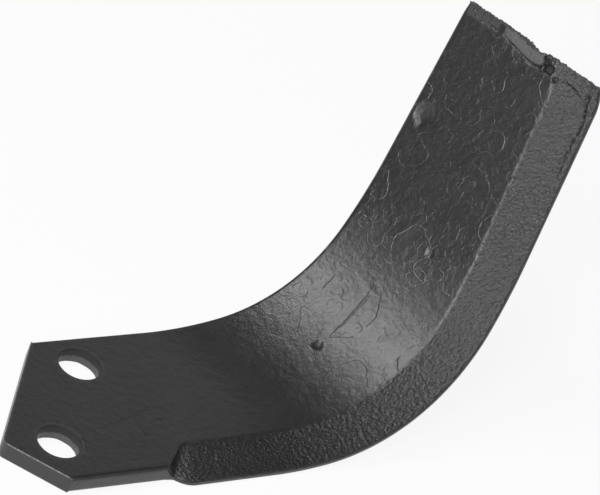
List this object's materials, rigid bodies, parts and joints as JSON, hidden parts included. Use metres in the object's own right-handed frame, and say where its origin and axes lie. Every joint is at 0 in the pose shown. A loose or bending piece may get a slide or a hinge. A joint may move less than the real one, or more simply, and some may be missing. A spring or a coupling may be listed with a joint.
{
  "type": "rotary tiller blade",
  "caption": "Forged steel tiller blade: flat pointed shank with bolt holes, curved into a swept wing with a bevelled leading edge.",
  "frame": {"origin": "midway between the two bolt holes, on the concave face of the shank", "axes": "+X along the shank towards the wing, +Y towards the plain back edge, +Z along the bolt holes, the side the wing rises to"},
  "size_m": [0.232, 0.1149, 0.1342],
  "materials": {
    "black_steel": "satin black paint over forged steel"
  },
  "bodies": {
    "root": {"tiller_blade": "black_steel"}
  },
  "joints": []
}
